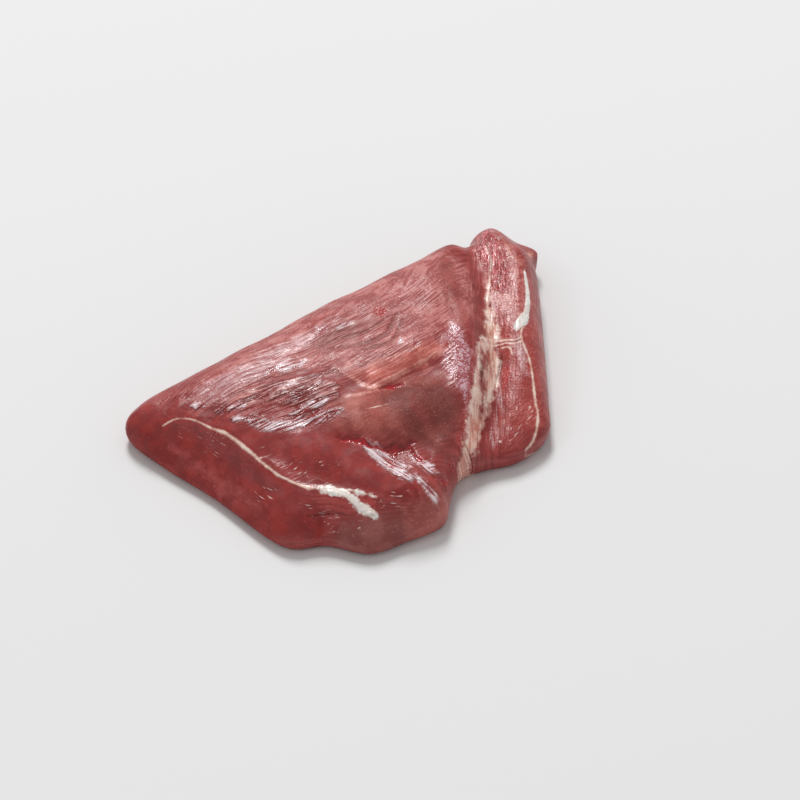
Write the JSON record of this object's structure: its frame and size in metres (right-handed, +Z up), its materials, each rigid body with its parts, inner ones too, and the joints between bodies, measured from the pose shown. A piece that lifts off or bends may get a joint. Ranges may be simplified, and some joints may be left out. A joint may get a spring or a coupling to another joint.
{
  "type": "boneless beef shoulder",
  "caption": "Raw boneless beef shoulder: a tapered slab of red muscle with a sloping cut face, pale tendons and a fatty seam beside a flat end strip, lying on its flat underside.",
  "frame": {"origin": "middle of the flat underside's bounding box, at the level it rests on", "axes": "+X along the cut, from the pointed nose to the end strip; +Y from the front muscle to the long far side; +Z up"},
  "size_m": [0.2382, 0.1532, 0.043],
  "materials": {
    "raw_meat": "raw red muscle, wet and softly shining, with cream fat and tendon"
  },
  "bodies": {
    "root": {"beef_shoulder": "raw_meat"}
  },
  "joints": []
}
